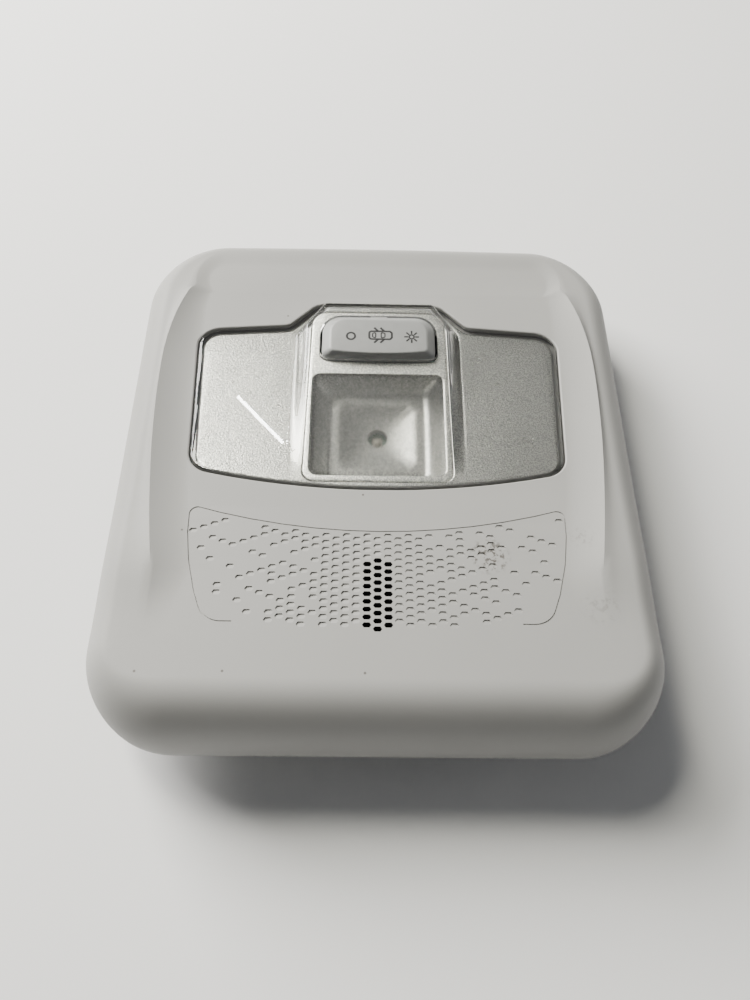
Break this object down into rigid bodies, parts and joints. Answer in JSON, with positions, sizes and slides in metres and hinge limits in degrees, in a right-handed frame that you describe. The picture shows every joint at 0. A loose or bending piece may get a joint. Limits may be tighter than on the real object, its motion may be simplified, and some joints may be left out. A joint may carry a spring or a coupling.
{
  "type": "car interior light",
  "caption": "Overhead car interior light: pillow-shaped bezel with a dimpled, pierced microphone grille, a clear T-shaped lens over silver reflectors, and a rocker key.",
  "frame": {"origin": "bottom centre of the lamp's box, on the plane that its rear housing rests on, with the lamp lying face up", "axes": "+X across the lamp to the right in the picture, +Y from the thick near end with the grille to the thin far end with the connector, +Z out of the lit face"},
  "size_m": [0.1792, 0.198, 0.0425],
  "materials": {
    "shell_grey": "fine moulded texture, light grey",
    "clear_lens": "polished clear plastic",
    "satin_silver": "satin silver paint with a fine grain",
    "bright_silver": "vacuum-coated bright silver",
    "housing_black": "moulded black plastic",
    "key_grey": "smooth moulded light grey with dark printed symbols",
    "zinc_steel": "zinc-plated steel",
    "spring_steel": "bright rolled spring steel",
    "board_green": "solder-masked circuit board",
    "led_yellow": "clear dome over a yellow emitter",
    "chip_black": "moulded black resin",
    "contact_gold": "plated brass",
    "slider_white": "smooth white plastic",
    "foam_black": "open-cell black foam",
    "capsule_metal": "drawn aluminium can",
    "lead_black": "black insulation"
  },
  "bodies": {
    "lamp": {"bezel": "shell_grey", "lens": "clear_lens", "silver_mask": "satin_silver", "reflector": "bright_silver", "rear_housing": "housing_black", "housing_screws": "zinc_steel", "circuit_board": "board_green", "board_screws": "zinc_steel", "led": "led_yellow", "resistors": "chip_black", "driver_chip": "chip_black", "connector_header": "chip_black", "header_pins": "contact_gold", "switch_base": "housing_black", "detent_spring": "spring_steel", "mic_holder": "housing_black", "mic_foam": "foam_black", "mic_capsule": "capsule_metal", "mic_lead": "lead_black", "clip_far_left": "spring_steel", "clip_far_right": "spring_steel", "clip_near_left": "spring_steel", "clip_near_right": "spring_steel"},
    "rocker": {"rocker_key": "key_grey"},
    "slider": {"switch_slider": "slider_white", "wiper_contact": "contact_gold"}
  },
  "joints": [
    {"name": "rocker_tilt", "type": "hinge", "parent": "lamp", "child": "rocker", "pos_m": [0, 0.04262, 0.03277], "axis": [0, 0.9986, 0.0523], "range_deg": [-6, 6]},
    {"name": "slider_travel", "type": "slide", "parent": "lamp", "child": "slider", "axis": [1, 0, 0], "range_m": [-0.00095, 0.00095], "deforming": ["detent_spring"]}
  ],
  "couplings": [
    {"joint": "slider_travel", "follows": "rocker_tilt", "m_per_rad": -0.0086}
  ]
}
